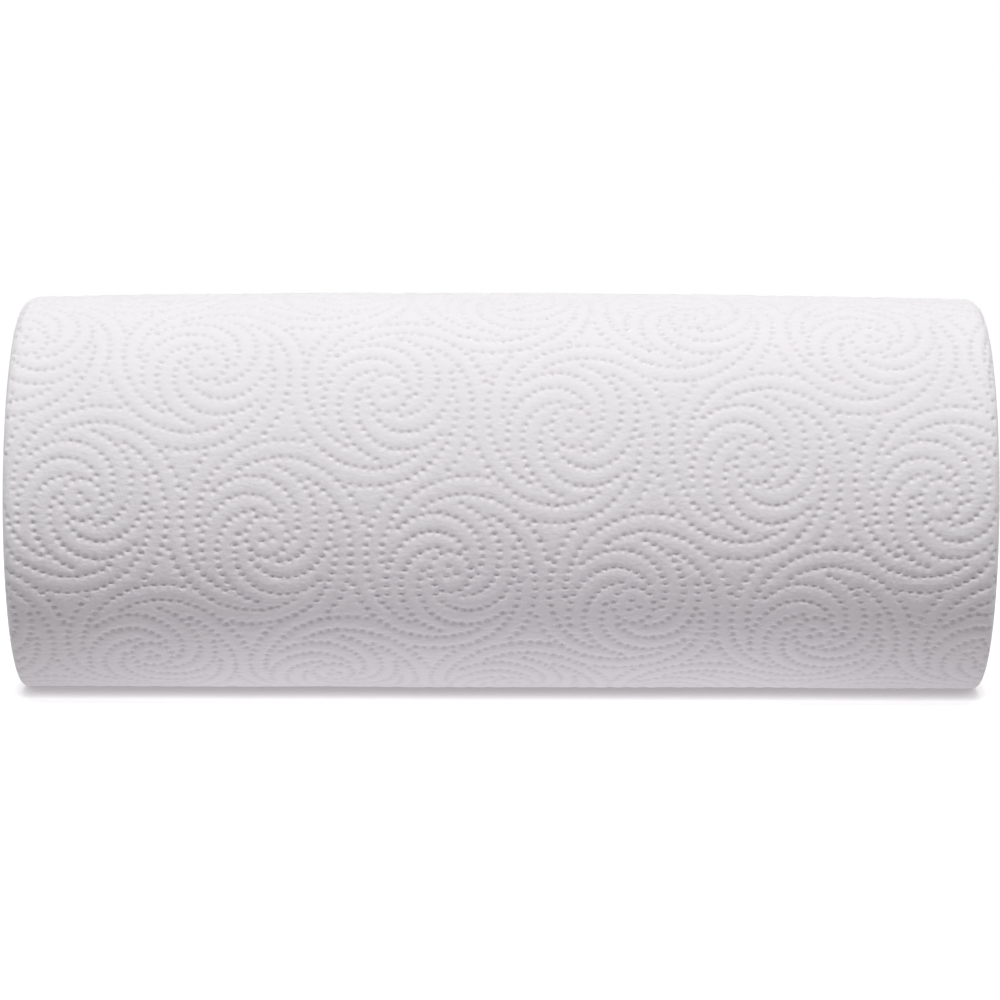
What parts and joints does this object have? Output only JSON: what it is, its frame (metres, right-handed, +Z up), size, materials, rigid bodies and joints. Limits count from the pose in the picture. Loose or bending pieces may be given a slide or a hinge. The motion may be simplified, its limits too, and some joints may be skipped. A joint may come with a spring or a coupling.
{
  "type": "paper towel roll",
  "caption": "Soft two-ply paper towel web with a fine dotted emboss, wound about eighty turns on an open cardboard core tube; lies on its side on a small flat.",
  "frame": {"origin": "centre of the core's bore at mid length", "axes": "+X along the roll's axis, +Z up, -Y towards the front; the web's loose end lies low at the back"},
  "size_m": [0.2794, 0.1151, 0.1145],
  "materials": {
    "core_board": "matt",
    "towel_paper": "matt, softly embossed"
  },
  "bodies": {
    "root": {"core_tube": "core_board", "towel_web": "towel_paper"}
  },
  "joints": []
}
